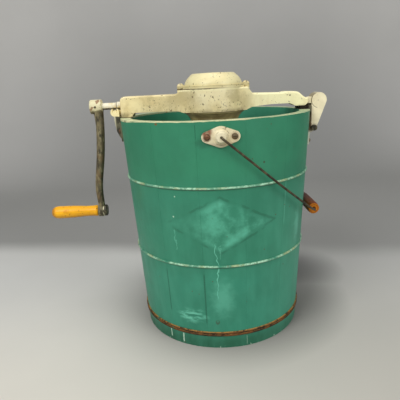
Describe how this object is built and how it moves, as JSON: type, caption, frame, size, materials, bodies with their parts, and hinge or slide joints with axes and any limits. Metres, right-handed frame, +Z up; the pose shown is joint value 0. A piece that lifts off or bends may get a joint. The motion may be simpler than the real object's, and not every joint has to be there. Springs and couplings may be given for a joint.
{
  "type": "hand crank ice cream freezer",
  "caption": "Staved wooden tub freezer for making ice cream: geared frame hinged across the rim with side crank and latch, bail handle, lidded metal can with dasher inside.",
  "frame": {"origin": "centre of the tub's foot on the floor, on the tub's axis", "axes": "+Z up along the tub's axis; -X towards the crank, +X towards the latch; -Y is the front, where the near bail ear is"},
  "size_m": [0.5313, 0.381, 0.4726],
  "materials": {
    "tub_wood": "green painted staves, worn",
    "green_wire": "green paint rubbed pale on the crown",
    "rusty_wire": "rusty, paint mostly gone",
    "cream_casting": "cream gloss paint, chipped and stained",
    "dark_casting": "dark, rusty, traces of cream paint",
    "rusty_steel": "rusty",
    "dark_steel": "dull, oxidised",
    "gear_iron": "greasy dark iron",
    "crank_iron": "worn dark paint over iron",
    "grip_wood": "yellow-orange varnish",
    "bail_wood": "orange-brown varnish",
    "tinplate": "dull tinned sheet",
    "tinned_iron": "dull tinned casting",
    "plain_wood": "bare maple"
  },
  "bodies": {
    "tub": {"stave_01": "tub_wood", "stave_02": "tub_wood", "stave_03": "tub_wood", "stave_04": "tub_wood", "stave_05": "tub_wood", "stave_06": "tub_wood", "stave_07": "tub_wood", "stave_08": "tub_wood", "stave_09": "tub_wood", "stave_10": "tub_wood", "stave_11": "tub_wood", "stave_12": "tub_wood", "stave_13": "tub_wood", "stave_14": "tub_wood", "tub_bottom": "tub_wood", "upper_hoop": "green_wire", "middle_hoop": "green_wire", "bottom_hoop": "rusty_wire", "bail_ear_front": "cream_casting", "bail_ear_rear": "cream_casting", "bail_ear_screws": "rusty_steel", "hinge_ear": "dark_casting", "hinge_ear_screws": "rusty_steel", "latch_ear": "dark_casting", "latch_ear_screws": "rusty_steel", "latch_pin": "rusty_steel", "can_pivot_plate": "rusty_steel"},
    "gear_frame": {"gear_frame": "cream_casting", "shaft_bush": "dark_steel", "gear_cover": "cream_casting", "cover_screws": "rusty_steel", "gear_retainer": "dark_steel"},
    "lower_gear": {"lower_gear": "gear_iron"},
    "upper_gear": {"upper_gear": "gear_iron"},
    "crank": {"crank_shaft": "dark_steel", "drive_pinion": "gear_iron", "pinion_pin": "dark_steel", "crank_arm": "crank_iron", "crank_pin": "dark_steel", "handle_bolt": "rusty_steel"},
    "crank_grip": {"crank_grip": "grip_wood"},
    "latch": {"latch": "cream_casting"},
    "bail": {"bail_wire": "dark_steel"},
    "bail_grip": {"bail_grip": "bail_wood"},
    "can": {"can_body": "tinplate", "can_bottom": "tinplate", "can_lid": "tinplate", "lid_driver": "gear_iron", "inner_beater": "tinned_iron"},
    "dasher": {"dasher_frame": "tinned_iron", "dasher_stem": "dark_steel", "scraper_left": "plain_wood", "scraper_right": "plain_wood", "scraper_pins": "dark_steel"}
  },
  "joints": [
    {"name": "frame_tilt", "type": "hinge", "parent": "tub", "child": "gear_frame", "pos_m": [-0.1825, 0, 0.4106], "axis": [0, -1, 0], "range_deg": [0, 12]},
    {"name": "crank_spin", "type": "hinge", "parent": "gear_frame", "child": "crank", "pos_m": [-0.2, 0, 0.4215], "axis": [1, 0, 0], "continuous": true},
    {"name": "crank_grip_spin", "type": "hinge", "parent": "crank", "child": "crank_grip", "pos_m": [-0.2346, 0, 0.2223], "axis": [1, 0, 0], "continuous": true},
    {"name": "lower_gear_spin", "type": "hinge", "parent": "gear_frame", "child": "lower_gear", "pos_m": [0, 0, 0.4215], "axis": [0, 0, 1], "continuous": true},
    {"name": "upper_gear_spin", "type": "hinge", "parent": "gear_frame", "child": "upper_gear", "pos_m": [0, 0, 0.4215], "axis": [0, 0, 1], "continuous": true},
    {"name": "can_spin", "type": "hinge", "parent": "tub", "child": "can", "pos_m": [0, 0, 0.048], "axis": [0, 0, 1], "continuous": true},
    {"name": "dasher_spin", "type": "hinge", "parent": "tub", "child": "dasher", "pos_m": [0, 0, 0.35], "axis": [0, 0, 1], "continuous": true},
    {"name": "latch_swing", "type": "hinge", "parent": "tub", "child": "latch", "pos_m": [0.1836, 0, 0.365], "axis": [0, 1, 0], "range_deg": [0, 150]},
    {"name": "bail_swing", "type": "hinge", "parent": "tub", "child": "bail", "pos_m": [0, 0, 0.376], "axis": [0, -1, 0], "range_deg": [0, 180]},
    {"name": "bail_grip_spin", "type": "hinge", "parent": "bail", "child": "bail_grip", "pos_m": [0.17849, 0, 0.21699], "axis": [0, 1, 0], "continuous": true}
  ],
  "couplings": [
    {"joint": "lower_gear_spin", "follows": "crank_spin", "ratio": -0.33333},
    {"joint": "can_spin", "follows": "crank_spin", "ratio": -0.33333},
    {"joint": "upper_gear_spin", "follows": "crank_spin", "ratio": 0.33333},
    {"joint": "dasher_spin", "follows": "crank_spin", "ratio": 0.33333},
    {"joint": "latch_swing", "follows": "frame_tilt", "ratio": 12.5}
  ]
}
